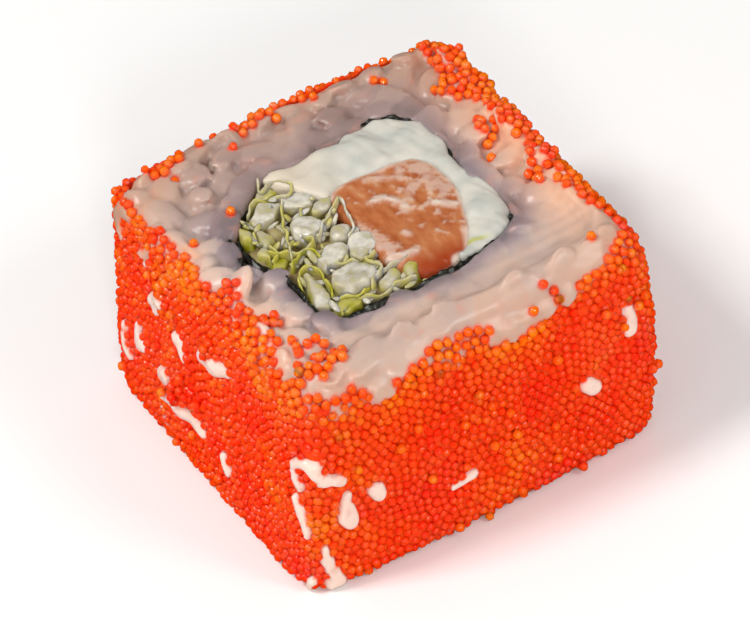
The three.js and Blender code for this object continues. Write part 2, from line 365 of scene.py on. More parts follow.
def strewn_grains(side, tries):
    """Grains over one cut face, no two too near, each turned until both of its ends lie on rice."""
    spots, laid = [], []
    low, high = [np.array(corner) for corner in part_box("rice")]
    for x, y in random.uniform(low[:2], high[:2], (tries, 2)):
        here = cut_face(x, y, side)
        if here and all((here[0] - other).length > GRAINS_APART * MM for other in spots):
            spots.append(here[0])
            spot, normal = here
            # On the flat of the face it lies level.
            normal = Vector(normal) if abs(normal.z) < 0.93 else Vector((0, 0, side))
            first = normal.orthogonal().normalized()
            for _ in range(14):
                yaw, pitch = random.uniform(0, math.tau), math.radians(random.uniform(5, 70))
                flat = first * math.cos(yaw) + normal.cross(first) * math.sin(yaw)
                half = flat * (RICE_GRAIN[0] * MM * 0.42 * math.cos(pitch))
                if cut_face(*(spot + half).xy, side) and cut_face(*(spot - half).xy, side):
                    break
            smear = smeared((x, y)) if side > 0 else 1
            bulge = float(shoulder_rise(np.array(spot), np.array(normal))) if side > 0 else 0
            rise = bulge + (1 - smear) * (0.2 + random.uniform(-0.28, 0.28)) - 0.05 * smear
            along = flat * math.cos(pitch) - normal * math.sin(pitch)
            sizes = np.array(RICE_GRAIN) * random.uniform(0.9, 1.1)
            sunk = random.uniform(0.5, 0.95)
            softness = 0.42 - 0.34 * smear
            laid.append(lay_body(spot + normal * rise * MM, normal, along, sizes, sunk, softness))
    return laid


laid = strewn_grains(1, tries=5000) + strewn_grains(-1, tries=3000)


def windows_of(shell):
    """Each window in the coat of roe: its middle, its outward direction, its long direction and its sizes."""
    mesh = shell.data
    outward = [Vector(p.center.xy.to_3d()).normalized().dot(p.normal) for p in mesh.polygons]
    # The faces of a window's wall look along the coat.
    heights = (1.5 * MM, 21.5 * MM)
    across = [p for p, out in zip(mesh.polygons, outward) if abs(out) < 0.5]
    wall = [p for p in across if heights[0] < p.center.z < heights[1]]
    group = {v: v for p in wall for v in p.vertices}

    def root(v):
        while group[v] != v:
            v = group[v]
        return v

    for p in wall:
        for v in p.vertices[1:]:
            group[root(v)] = root(p.vertices[0])
    rings = {}
    for p in wall:
        rings.setdefault(root(p.vertices[0]), []).append(p)
    for faces in rings.values():
        normals = np.array([p.normal for p in faces])
        corners = np.array([mesh.vertices[v].co for p in faces for v in p.vertices])
        middle = corners.mean(0)
        _, _, directions = np.linalg.svd(normals)
        out = directions[2] * np.sign(directions[2] @ (middle * (1, 1, 0)))
        flat = corners - middle
        flat -= (flat @ out)[:, None] * out
        _, _, axes = np.linalg.svd(flat, full_matrices=False)
        length, width = np.ptp(flat @ axes[0]) / MM, np.ptp(flat @ axes[1]) / MM
        # They turn all the way round, and the hole is the size of a grain.
        closed = np.linalg.norm(normals.mean(0)) < 0.9
        if len(faces) >= 10 and closed and 1 < width <= length < 9:
            yield middle, out, axes[0], length, width


# The coat's windows are closed here, each by a larger plug, and the rice is bared grain by grain instead.
CLOSING = 1.4
FIRM = 0.06  # the softness of rice that lies as the coat's surface does
coat = copy_of("roe_coat", "roe_bed")
plugs = []
for middle, out, along, length, width in windows_of(coat):
    sizes = (length + 2, width + 2, 2.4)
    plugs.append(lay_body(middle + out * 0.5 * MM, out, along, sizes, sunk=0.9, softness=FIRM))
coat = joined("roe_bed", [coat, joined_copies("plugs", grain, np.array(plugs))])
even_skin(coat)
# Swollen and drawn in again, it has no gap left either.
for by in (CLOSING, -CLOSING):
    swell(coat, by * MM)
    even_skin(coat)
apply_modifier(coat, "SMOOTH", factor=0.7, iterations=3)
coat_surface = surface_of(coat)

# Rice bared in the coat: the side it is on, then for each point that it runs through, how far along it is
# from the heart of the filling, how high it stands, and how wide the rice is there.
BARED = [
    ("left", [(13.6, 19.2, 0.8), (12.9, 20.5, 1.2), (11.7, 21.4, 0.8)]),
    ("left", [(12.6, 15.4, 1.0), (11.1, 16.3, 1.5), (9.4, 17.1, 0.7)]),
    ("left", [(11.1, 16.1, 1.3), (11.6, 14.6, 0.6)]),
    ("left", [(19.0, 8.2, 0.6), (18.6, 6.6, 1.2), (17.5, 5.3, 0.8)]),
    ("left", [(15.7, 10.4, 0.6), (15.6, 7.9, 1.3), (14.4, 8.3, 0.8)]),
    ("left", [(7.5, 14.0, 1.2), (6.4, 13.5, 1.2), (5.4, 12.7, 0.6)]),
    ("left", [(2.2, 15.3, 1.2), (-0.5, 16.1, 2.2), (-3.2, 16.9, 1.1)]),
    ("left", [(10.9, 7.3, 1.7), (9.8, 7.8, 1.5)]),
    ("left", [(10.7, 4.9, 0.8), (6.9, 5.7, 1.6), (2.1, 5.8, 0.9)]),
    ("left", [(-1.9, 5.8, 0.8), (-3.0, 4.7, 0.7)]),
    ("left", [(16.8, 22.9, 1.2), (18.4, 22.6, 1.6), (19.3, 21.2, 1.8), (18.6, 19.4, 1.2)]),
    ("left", [(-17.6, 15.9, 0.8), (-16.3, 14.9, 0.8), (-16.5, 13.4, 0.9), (-17.3, 12.7, 0.7)]),
    ("left", [(-17.6, 15.9, 0.8), (-18.8, 15.7, 1.0)]),
    ("near", [(-18.0, 15.2, 0.9), (-17.3, 14.0, 1.3), (-16.5, 13.8, 0.6), (-15.7, 13.6, 1.2)]),
    ("left", [(-16.5, 11.0, 0.6), (-17.1, 9.8, 1.2), (-17.9, 8.4, 0.9), (-18.1, 7.2, 0.4)]),
    ("near", [(-15.2, 11.4, 0.5), (-15.6, 10.2, 1.1), (-15.7, 8.8, 1.8), (-15.4, 7.6, 1.0)]),
    ("near", [(-12.4, 10.3, 1.5), (-12.1, 9.6, 1.4)]),
    ("near", [(-4.4, 6.2, 0.6), (-2.2, 6.7, 0.7)]),
    ("near", [(11.4, 10.2, 1.5), (12.0, 9.5, 1.5)]),
    ("near", [(17.1, 16.6, 1.0), (16.9, 14.2, 1.6)]),
    ("near", [(-9.8, 22.4, 1.6), (-8.9, 21.7, 1.1)]),
    ("near", [(2.4, 22.4, 1.4), (3.7, 21.6, 1.6), (4.3, 20.7, 0.8)]),
    ("near", [(4.9, 22.4, 1.8), (6.4, 22.2, 1.4), (8.9, 22.5, 1.2)]),
    ("near", [(11.1, 22.2, 1.5), (10.7, 21.3, 0.8)]),
    ("near", [(-18.4, 5.8, 0.4), (-18.4, 4.4, 1.0), (-18.1, 2.8, 1.1), (-17.8, 1.2, 1.2), (-17.4, 0.4, 1.2)]),
    ("near", [(-18.1, 1.0, 1.0), (-18.4, 0.4, 0.9)]),
    ("left", [(-18.3, 1.6, 0.6), (-17.8, 0.6, 0.8)]),
]


def on_coat(side, along, up):
    """A place on the coat's outer surface and its outward direction."""
    way = Vector((1, 0, 0)) if side == "left" else Vector((0, 1, 0))
    start = heart + Vector((way.y, way.x, 0)) * along * MM - way * 50 * MM
    start.z = up * MM
    # The ray stops short of the far wall, which one that passes over the rim would hit.
    spot, normal, _, _ = coat_surface.ray_cast(start, way, 34 * MM)
    if not spot:
        spot, normal, _, _ = coat_surface.find_nearest(start + way * 29.5 * MM)
    return spot, (normal - 1.5 * way).normalized()


bared = []  # the middle and the radius of each grain or part of a grain that shows
for side, path in BARED:
    for (a0, z0, w0), (a1, z1, w1) in zip(path, path[1:]):
        steps = max(2, math.ceil(math.hypot(a1 - a0, z1 - z0) / 0.5))
        for k in range(steps + 1):
            share = k / steps
            spot, normal = on_coat(side, a0 + (a1 - a0) * share, z0 + (z1 - z0) * share)
            across = (w0 + (w1 - w0) * share) * random.uniform(0.9, 1.1)
            sizes = (across * 1.1 + 0.5, across + 0.5, 4)
            lifted = spot + normal * 0.05 * MM
            laid.append(lay_body(lifted, normal, Vector((0, 0, 1)), sizes, sunk=1.2, softness=FIRM))
            bared.append((*spot, across / 2 * MM))
bared = np.array(bared)

# The line that the roe reaches to along the upper rim. On the near side it is how high it stands at each
# place along; on the left and right sides it is how far across it runs at each place along.
NEAR_RIM = [
    (-16.1, 23.0), (-14.5, 22.9), (-12.9, 22.6), (-12.0, 22.6), (-10.4, 21.9), (-8.9, 21.2), (-8.0, 22.0),
    (-7.2, 22.5), (-6.4, 22.5), (-5.6, 21.9), (-4.8, 23.2), (1.4, 22.9), (2.9, 22.0), (3.6, 20.7),
    (4.5, 20.0), (5.8, 21.0), (7.5, 21.5), (9.3, 21.8), (9.8, 23.4), (10.2, 21.6), (10.7, 20.7),
    (11.8, 21.8), (13.9, 22.7), (14.9, 22.9), (15.4, 22.3), (16.4, 23.7),
]
LEFT_RIM = [
    (-18, -16.2), (-16.3, -16.5), (-14.5, -16.0), (-13.8, -16.7), (-12.1, -16.9), (-10.9, -16.4),
    (-9.5, -15.2), (-8.0, -16.0), (-6.9, -13.6), (-5.9, -13.6), (-5.2, -16.1), (-4.3, -15.4),
    (-2.6, -15.8), (-2.1, -14.7), (-1.1, -14.7), (-0.5, -16.0), (0.4, -16.9), (1.5, -16.7), (3.9, -16.6),
    (7.6, -16.2), (9.2, -16.1), (12.2, -17.0), (14.1, -16.9), (16.8, -16.9), (18, -17.2),
]
RIGHT_RIM = [
    (-17.2, 18.2), (-15.5, 19.0), (-14.3, 18.7), (-12.8, 18.5), (-12.1, 17.8), (-9.5, 18.0), (-8.3, 17.6),
    (-6.7, 17.9), (-4.2, 18.1), (0, 18.0), (1.0, 19.2), (2.0, 18.0), (5, 17.2), (8, 18.4), (11, 17.2),
    (18, 17.8),
]


def roe_covers(place):
    """Whether the roe lies over a place on the rim."""
    x, y = from_heart(place)
    bare = np.linalg.norm(bared[:, :3] - place, axis=1) - bared[:, 3]
    if bare.min() < 0.2 * MM:
        return False
    if y < -17 and place[2] / MM < np.interp(x, *zip(*NEAR_RIM)):
        return True
    if x < np.interp(y, *zip(*LEFT_RIM)) or x > np.interp(y, *zip(*RIGHT_RIM)):
        return True
    return y > 18 and place[2] / MM < 22.4 + 2.5 * noise.noise(Vector(place) * 300)


core = copy_of("rice", "rice_core")
even_skin(core, mesh=0.5, smooth=0.6, times=2)
places, normals = read_points(core), read_points(core, "normal")
outward = (normals * unit(places * (1, 1, 0))).sum(1)
smear = smeared(places)
on_top = ramp(places[:, 2] / MM, 20, 21.5) * ramp(normals[:, 2], 0.5, 0.9)
# Beside the filling it has crept over the nori here and there: at each bearing in degrees, how much of the
# nori's edge it hides.
HIDDEN_NORI = [
    (-180, 0), (-150, 0.1), (-138, 0), (-130, 0.5), (-120, 0.1), (-66, 0), (-52, 0.5), (-44, 0.8),
    (-36, 0.8), (-34, 0.1), (-30, 0.9), (10, 0.9), (18, 0.3), (24, 0.8), (36, 0.8), (42, 0), (62, 0),
    (68, 1), (148, 1), (152, 0), (160, 0.4), (180, 0),
]


def nori_hidden(places):
    """How far the nori's edge is buried at each place round the filling."""
    x, y = from_heart(places).T
    return np.interp(np.degrees(np.arctan2(y, x)), *zip(*HIDDEN_NORI))


# It leans in over the nori, lies just under the grains on top, and meets the roe at the shoulder.
creep = nori_hidden(places) * ramp(places[:, 2] / MM, 21, 23)
sink = np.where(outward < -0.3, -0.3 - 0.35 * creep, 0.1) + on_top * (0.8 - 0.8 * smear)
move_points(core, places + normals * (shoulder_rise(places, normals) - sink)[:, None] * MM)

# Under the coat it is flat: only the grains laid above come through.
places = read_points(core)
for i in np.nonzero((places[:, 2] < 20 * MM) & (outward > 0.3))[0]:
    out = Vector(places[i] * (1, 1, 0)).normalized()
    face, _, _, _ = coat_surface.ray_cast(Vector(places[i]) + out * 20 * MM, -out)
    depth = (face - Vector(places[i])).dot(out) if face else 1
    places[i] -= np.array(out) * max(0, FLUSH * MM - depth)
move_points(core, places)

rice = joined("rice_block", [core, joined_copies("rice_grains", grain, np.array(laid))])
even_skin(rice, RICE_MESH, smooth=0.5, times=1)
roughen(rice, 1.3 * MM, 0.1 * MM)
stay_on_table(rice, 0.05 * MM)

# Fine ridges where the knife dragged the rice along.
places = read_points(rice)
smear = smeared(places) * ramp(places[:, 2] / MM, 20, 22)
drag = 0.16 * noise_at(places * (130, 1100, 400)) * MM
move_points(rice, places + read_points(rice, "normal") * (smear * drag)[:, None])

# What the material reads: how near the nori or the roe is, each grain's own tone, and the hollows.
places, normals = read_points(rice), read_points(rice, "normal")
to_nori = distance_to(surface_of(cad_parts["nori"]), places)
to_roe = distance_to(coat_surface, places)
# The grey band of painted shade beside the nori is narrow at the near and left sides and wide at the far
# side.
reach = 3.2 + 6 * ramp(places[:, 1] / MM, 4, 14) + 1.5 * ramp(places[:, 0] / MM, 8, 14)
keep_values(rice, "shade_and_stain", np.clip(to_nori / reach, 0, 1) * (0.75 + 0.25 * ramp(-to_roe, -4, -0.5)))
tones = random.uniform(0, 1, len(laid))
middles = nest_of([body.mean(0) for body in laid])
keep_values(rice, "tone", [tones[middles.find(p)[1]] for p in places])
even = rice.copy()
even.data = rice.data.copy()
bpy.context.collection.objects.link(even)
apply_modifier(even, "SMOOTH", factor=0.8, iterations=12)
keep_values(rice, "hollow", ((read_points(even) - places) * normals).sum(1) / MM)
bpy.data.objects.remove(even)
rice_surface = surface_of(rice)

# Boiled sushi rice: water-rich starch, IOR about 1.38, moist, with light spreading a millimetre or two.
sushi_rice, tree, shader = new_material(
    "sushi_rice",
    Roughness=0.3,
    IOR=1.38,
    Subsurface_Weight=0.75,
    Subsurface_Radius=(1.0, 0.75, 0.6),
    Subsurface_Scale=1.2 * MM,
)
shade_and_stain, own, hollow, juice = (
    add_node(tree, "Attribute", attribute_name=name).outputs["Fac"]
    for name in ("shade_and_stain", "tone", "hollow", "juice")
)
place = add_node(tree, "TexCoord").outputs["Object"]
axes = add_node(tree, "SeparateXYZ", {0: place}).outputs
wobble = add_node(tree, "TexNoise", {"Vector": place, "Scale": 1 / (4 * MM), "Detail": 3}).outputs["Fac"]
blots = add_node(tree, "TexNoise", {"Vector": place, "Scale": 1 / (2.2 * MM), "Detail": 2}).outputs["Fac"]
# Painted shade: greyer and clearer beside the nori. Warmer towards the roe, partly the juice that stains it
# and partly painted bounce light from the roe.
tone = add_node(tree, "Math", {0: shade_and_stain, 1: 0.7}, operation="MULTIPLY").outputs[0]
for source, share in ((wobble, 0.3), (own, 0.2)):
    tone = add_node(tree, "Math", {0: source, 1: share, 2: tone}, operation="MULTIPLY_ADD").outputs[0]
TONES = [(0.22, "#786c6f"), (1.0, "#e0ae90"), (0.4, "#9b8a8c"), (0.55, "#b9a59c"), (0.8, "#d2b5a4")]
tone = add_node(tree, "ValToRGB", {"Fac": tone}, TONES).outputs["Color"]
# Each stain, painted shade or painted light lies over the ones before: what it follows, where it starts and
# is full, how much, its colour.
STAINS_AND_PAINTED_LIGHT = [
    # On the right it took up more of the juice.
    (axes["X"], 12 * MM, 17 * MM, 0.5, "#e8ac82"),
    # Painted shade: the far side is painted darker and pinker, as if it stood in shade.
    (axes["Y"], 4 * MM, 17 * MM, 0.6, "#a0806f"),
    # At the near edge, smeared dense, it is darker too. The hollows are darkened with painted shade.
    (axes["Y"], -12 * MM, -16 * MM, 0.6, "#b39b8e"),
    (hollow, 0.02, 0.25, 0.35, "#8c7672"),
    # Down the sides, where it shows only through gaps in the roe, it is painted paler: painted light, making
    # up for the dimmer light there.
    (axes["Z"], 20.5 * MM, 18 * MM, 1, "#e8ccbe"),
    # Here and there it has taken up the roe's colour, most of all where roe lies on it.
    (blots, 0.58, 0.75, 0.4, "#cc907c"),
    (juice, 0, 1, 1, "#fb5410"),
]
for source, start, full, most, code in STAINS_AND_PAINTED_LIGHT:
    spread = {"Value": source, "From Min": start, "From Max": full, "To Max": most}
    share = add_node(tree, "MapRange", spread).outputs[0]
    tone = add_node(tree, "Mix", {0: share, 6: tone, 7: hex_colour(code)}, data_type="RGBA").outputs[2]
tree.links.new(tone, shader.inputs["Base Color"])
fine = add_node(tree, "TexNoise", {"Vector": place, "Scale": 1 / (0.6 * MM), "Detail": 3}).outputs["Fac"]
bump = add_node(tree, "Bump", {"Height": fine, "Strength": 0.25, "Distance": 0.08 * MM})
tree.links.new(bump.outputs["Normal"], shader.inputs["Normal"])
finish_piece(rice, sushi_rice, "sushi_rice", "rice")


# ---- Nori ----
# A toasted seaweed sheet, softened by the rice to a thin dark skin. It wraps the filling once and laps
# over its own start. Its cut edge is ragged, and round the far side the filling and the rice bury it.

nori = copy_of("nori", "nori_wrap")
move_points(nori, read_points(nori) - read_points(nori, "normal") * 0.07 * MM)
apply_modifier(nori, "SUBSURF", subdivision_type="SIMPLE", levels=2, render_levels=2)
roughen(nori, 1.1 * MM, 0.16 * MM)
places = read_points(nori)
upper = ramp(places[:, 2] / MM, 19, 21)
ragged = noise_at(places * (1500, 1500, 0))
places[:, 2] += upper * (0.4 * ragged - 0.35 - 0.9 * nori_hidden(places)) * MM
move_points(nori, places)

# Wet seaweed: a smooth green-black gel, IOR about 1.45, moist enough to glint.
wet_nori, tree, shader = new_material("wet_nori", Roughness=0.35, IOR=1.45)
place = add_node(tree, "TexCoord").outputs["Object"]
blades = add_node(tree, "TexNoise", {"Vector": place, "Scale": 1 / (0.8 * MM), "Detail": 4}).outputs["Fac"]
dark = add_node(tree, "ValToRGB", {"Fac": blades}, [(0.35, "#0a0b08"), (0.75, "#2a2a1e")]).outputs["Color"]
tree.links.new(dark, shader.inputs["Base Color"])
finish_piece(nori, wet_nori, "nori", "nori")


# ---- Salmon ----
# A strip of raw salmon, cut across the muscle: dense, moist flesh with thin pale lines of fat. The knife
# wiped cream cheese over its cut end, in dabs and a thin haze.

# Dabs of cheese: the points that each was dragged through, its width, and how thick it lies.
DABS = [
    ([(1.9, 2.3), (3.3, 2.1), (4.2, 0.3), (4.0, -0.9)], 0.35, 0.9),
    ([(6.8, -1.7), (8.2, -3.3)], 0.4, 0.85),
    ([(6.7, 5.4), (6.0, 3.6)], 0.3, 0.6),
    ([(4.2, 6.7), (6.6, 6.3), (8.6, 5.9), (9.7, 4.4)], 0.5, 0.75),
    ([(8.8, 4.2), (8.2, 2.9), (8.4, 0.2)], 0.8, 0.5),
    ([(9.9, 1.0), (9.6, -1.0)], 0.3, 0.5),
    ([(6.7, 2.4), (5.5, 1.4), (5.1, 0.1)], 0.25, 0.4),
    ([(3.3, 5.6), (4.4, 5.0), (5.4, 4.2)], 0.35, 0.5),
    ([(-0.9, -5.9), (0.3, -6.5), (1.7, -6.6)], 0.4, 0.8),
    ([(2.3, -3.6), (2.4, -4.2)], 0.2, 0.7),
    ([(-1.4, 0.2), (-0.5, -2.2), (0.1, -4.6), (-0.6, -6.0)], 0.6, 0.6),
]
FINE_FROM = 22.3  # the height from which the cut face has a finer mesh


def dabbed(places):
    """How thickly cheese covers each place on the cut, from 0 to 1."""
    flat = from_heart(places)
    wavy = np.array([noise.fractal(Vector((x * 0.9, y * 0.9, 5)), 1.0, 2.0, 4) for x, y in flat])
    fine = noise_at(flat * 2.6, 2)
    cover = np.zeros(len(flat))
    for path, width, thick in DABS:
        for start, end in zip(np.array(path), np.array(path)[1:]):
            way = end - start
            share = np.clip((flat - start) @ way / (way @ way), 0, 1)
            gap = np.linalg.norm(flat - start - share[:, None] * way, axis=1)
            edge = width * (1 + 0.9 * wavy + 0.7 * fine)
            cover = np.maximum(cover, thick * ramp(-gap, -edge - 0.5, -edge + 0.3))
    x, y = flat.T
    streaks = noise_at(np.transpose((1.4 * x + 1.1 * y, 0.5 * y - 0.4 * x)), 3)
    haze = 0.5 * ramp(wavy + 0.7 * streaks + 0.16 * (x - 5) + 0.03 * y, 0.1, 0.7)
    return np.clip(np.maximum(cover * (0.85 + 0.5 * streaks), haze), 0, 1)


def finer_top(piece, cuts=1):
    """Divides the faces at the upper cut face, where the detail is."""
    pick(piece)
    bpy.ops.object.mode_set(mode="EDIT")
    bpy.ops.mesh.select_all(action="DESELECT")
    bpy.ops.object.mode_set(mode="OBJECT")
    for face in piece.data.polygons:
        face.select = face.center.z > FINE_FROM * MM
    bpy.ops.object.mode_set(mode="EDIT")
    bpy.ops.mesh.subdivide(number_cuts=cuts, smoothness=0.3)
    bpy.ops.mesh.select_all(action="DESELECT")
    bpy.ops.object.mode_set(mode="OBJECT")


salmon = copy_of("salmon", "salmon_strip")
even_skin(salmon, times=6)
swell(salmon, 0.25 * MM)
roughen(salmon, 2.5 * MM, 0.3 * MM)
finer_top(salmon, 2)
places = read_points(salmon)
top = ramp(places[:, 2] / MM, 22.6, 23.2)
# Along the cheese it is smeared over the edge.
to_cheese = distance_to(surface_of(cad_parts["cream_cheese"]), places)
smears = 0.85 * ramp(0.5 * noise_at(places * 800) - to_cheese, -1.0, -0.2)
cover = np.maximum(dabbed(places), smears) * top
near_end = ramp(-from_heart(places)[:, 1], 6.5, 9.5)
places[:, 2] += (0.2 * cover - 0.35 * near_end * top) * MM
move_points(salmon, places)
stay_on_table(salmon)
keep_values(salmon, "cheese", cover)
keep_values(salmon, "deep", near_end)

# Raw salmon: water-rich muscle, IOR about 1.4, which light enters a millimetre or two.
raw_salmon, tree, shader = new_material(
    "raw_salmon",
    Roughness=0.34,
    IOR=1.4,
    Subsurface_Weight=0.3,
    Subsurface_Radius=(1.0, 0.35, 0.15),
    Subsurface_Scale=1 * MM,
)
place = add_node(tree, "TexCoord").outputs["Object"]
# The fibres run slantwise, drawn out along the strip.
along = {"Vector": place, "Rotation": (0, 0, 0.5), "Scale": (1, 0.4, 0.2)}
place = add_node(tree, "Mapping", along).outputs[0]
fibres = add_node(tree, "TexNoise", {"Vector": place, "Scale": 1 / (1.2 * MM), "Detail": 5}).outputs["Fac"]
FLESH = [(0.3, "#9a4d24"), (0.72, "#c48c64"), (0.45, "#ac6035"), (0.58, "#b67145")]
tone = add_node(tree, "ValToRGB", {"Fac": fibres}, FLESH).outputs["Color"]
for name, code in (("deep", "#96370f"), ("cheese", "#d3c1b2")):
    share = add_node(tree, "Attribute", attribute_name=name).outputs["Fac"]
    tone = add_node(tree, "Mix", {0: share, 6: tone, 7: hex_colour(code)}, data_type="RGBA").outputs[2]
tree.links.new(tone, shader.inputs["Base Color"])
grainy = add_node(tree, "Bump", {"Height": fibres, "Strength": 0.4, "Distance": 0.15 * MM})
tree.links.new(grainy.outputs["Normal"], shader.inputs["Normal"])
finish_piece(salmon, raw_salmon, "salmon", "salmon")


# ---- Cream cheese ----
# Soft white cheese, piped along the far side of the salmon. It fills the corner of the nori and squeezes
# over its edge, and the knife left drag marks in it.

cheese = copy_of("cream_cheese", "cheese_strip")
even_skin(cheese, times=8)
swell(cheese, 0.3 * MM)
roughen(cheese, 3.2 * MM, 0.5 * MM)
finer_top(cheese)
places = read_points(cheese)
flat = from_heart(places)
x, y = flat.T
top = ramp(places[:, 2] / MM, 22.4, 23.4)
# The drag marks run from the far left to the right, bending round the salmon.
ridges = noise_at(np.transpose((0.14 * (x - y), 0.5 * (x + y) + 0.05 * x * x)), 1)
folds = noise_at(flat * 0.35, 8)
places[:, 2] += top * (0.16 * ridges + 0.6 * folds) * MM
away = unit(places * (1, 1, 0) - np.array((heart.x, heart.y, 0)))
# It spills over the nori on one side and over the edge of the salmon on the other.
apart = ramp(distance_to(surface_of(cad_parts["salmon"]), places), 0.2, 2.2)
spill = apart * (0.15 + 0.35 * nori_hidden(places) + 0.3 * folds) - 0.25 * (1 - apart)
places += (top * spill)[:, None] * away * MM
move_points(cheese, places)
stay_on_table(cheese)
# A sliver of leaf is stuck to it at the near end, and its far left is creamier.
sliver = np.hypot((x - 6.7) / 1.5, (y + 8.7 + 0.2 * (x - 6.7)) / 0.35)
keep_values(cheese, "leaf", top * ramp(-sliver, -1.3, -0.6))
keep_values(cheese, "cream", ramp(0.3 * y - x, -1, 6))

# Cream cheese: a fine curd of fat in water, IOR about 1.45, matte and milky.
soft_cheese, tree, shader = new_material(
    "soft_cheese",
    Roughness=0.45,
    IOR=1.45,
    Subsurface_Weight=0.4,
    Subsurface_Radius=(1.0, 0.9, 0.75),
    Subsurface_Scale=1 * MM,
)
place = add_node(tree, "TexCoord").outputs["Object"]
clots = add_node(tree, "TexNoise", {"Vector": place, "Scale": 1 / (3 * MM), "Detail": 4}).outputs["Fac"]
tone = add_node(tree, "ValToRGB", {"Fac": clots}, [(0.35, "#b4b4ab"), (0.65, "#cbc5b8")]).outputs["Color"]
for name, code in (("cream", "#cfc2ae"), ("leaf", "#b4b26a")):
    share = add_node(tree, "Attribute", attribute_name=name).outputs["Fac"]
    tone = add_node(tree, "Mix", {0: share, 6: tone, 7: hex_colour(code)}, data_type="RGBA").outputs[2]
tree.links.new(tone, shader.inputs["Base Color"])
finish_piece(cheese, soft_cheese, "cream_cheese", "cream_cheese")


# ---- Shredded cabbage ----
# Raw cabbage cut in narrow shreds: pale, watery pieces of rib with thin curled strips of green leaf
# between them, lightly dressed. The knife left their ends standing out of the cut face.

LEAF = 0.26  # thickness
STRIP_DEPTH = 2.2  # how far down each strip of leaf goes
RIB_DEPTH = 3  # how far down each piece of rib goes
RIB_MESH = 0.2
CRUMB_TRIES = 190

# Pieces of rib: middle, length, width and turn in degrees, how high the top stands, and how green.
RIBS = [
    (-4.7, 3.2, 3.6, 3.0, 65, 24.1, 0.05),
    (-4.9, -6.3, 3.9, 3.6, -35, 24.2, 0.12),
    (-8.5, -5.6, 4.9, 2.1, 72, 23.9, 0.1),
    (-5.0, -1.9, 3.4, 3.0, 20, 23.9, 0.05),
    (-7.5, 7.5, 3.4, 2.6, 40, 24.0, 0.1),
    (-8.9, 4.3, 3.0, 1.8, 80, 23.8, 0.3),
    (-2.1, -8.3, 2.6, 2.2, 10, 23.9, 0.3),
    (0.2, -8.3, 2.4, 2.0, 30, 23.8, 0.4),
    (-2.0, -2.4, 3.8, 3.0, 50, 23.8, 0.0),
    (-2.3, 0.8, 2.8, 2.2, 30, 23.8, 0.12),
    (-7.2, -9.0, 2.6, 1.6, 10, 23.7, 0.5),
    (-3.6, 7.4, 3.2, 2.6, 0, 23.8, 0.05),
    (-6.9, 2.5, 2.0, 1.8, 10, 23.4, 0.6),
    (-2.6, -5.4, 2.6, 1.6, 70, 23.6, 0.45),
    (-2.0, 5.4, 2.6, 2.0, 20, 23.8, 0.08),
    (-9.6, 0.2, 2.4, 1.6, 70, 23.6, 0.7),
    (-5.6, 10.4, 2.2, 2.0, 0, 23.7, 0.3),
    (-10.0, 6.0, 2.8, 1.7, 85, 23.8, 0.45),
    (-10.1, 2.4, 2.6, 1.5, 80, 23.7, 0.35),
]

# Strips of leaf: the points that each one curls through, how high its edge stands, and how green.
STRIPS = [
    ([(-5.7, 12.0), (-5.9, 10.4), (-4.4, 11.0), (-3.2, 9.8), (-3.9, 8.3), (-5.2, 8.7)], 24.4, 0.4),
    ([(-9.3, 6.2), (-9.6, 4.2), (-9.0, 1.8), (-9.8, 0.6)], 24.1, 0.6),
    ([(-5.0, 7.8), (-6.5, 5.2), (-7.0, 3.2), (-7.6, 1.4), (-8.4, -0.2)], 24.4, 0.5),
    ([(-9.8, 2.4), (-8.3, 0.5), (-6.6, -0.1), (-5.4, 0.8), (-5.9, 2.0)], 24.3, 0.7),
    ([(-9.0, -1.3), (-7.9, -0.3), (-6.3, -0.5), (-6.0, -1.7)], 24.3, 1.0),
    ([(-9.6, -4.6), (-9.2, -2.9), (-8.2, -2.0), (-7.1, -2.8), (-7.4, -5.2), (-8.0, -7.2)], 24.1, 0.85),
    ([(-1.4, -4.2), (-2.6, -5.0), (-2.2, -6.6), (-3.2, -7.6), (-4.3, -8.8)], 24.3, 0.45),
    ([(-8.6, -9.9), (-6.4, -9.0), (-4.3, -9.6), (-2.2, -9.4), (0.0, -9.6)], 23.9, 0.55),
    ([(-7.5, -8.0), (-5.8, -8.8), (-4.2, -8.3)], 24.1, 0.8),
    ([(-4.8, 0.9), (-3.4, 2.4), (-1.4, 3.6), (-0.4, 4.8)], 24.4, 0.3),
    ([(-0.4, 4.7), (-0.7, 2.4), (-1.0, 0.5), (-2.4, -0.8)], 24.3, 0.2),
    ([(-6.3, -3.2), (-4.6, -3.7), (-3.2, -4.6)], 24.2, 0.35),
    ([(-8.8, 8.4), (-7.6, 9.4), (-6.3, 9.0), (-6.2, 7.6)], 24.2, 0.55),
    ([(-3.0, -6.8), (-1.2, -7.0), (0.6, -6.8)], 24.0, 0.3),
]

shreds = []
shaper = np.random.default_rng(5)


def keep_shred(green, spread=0.0):
    """Marks how green the shred just made is, greener down its sides, and keeps it."""
    shred = bpy.context.object
    places = read_points(shred)
    low = ramp(-places[:, 2] / MM, -23.9, -22.4)
    patchy = 0.35 * noise_at(places * 700)
    keep_values(shred, "green", np.clip(green + spread * low + patchy, 0, 1))
    shreds.append(shred)


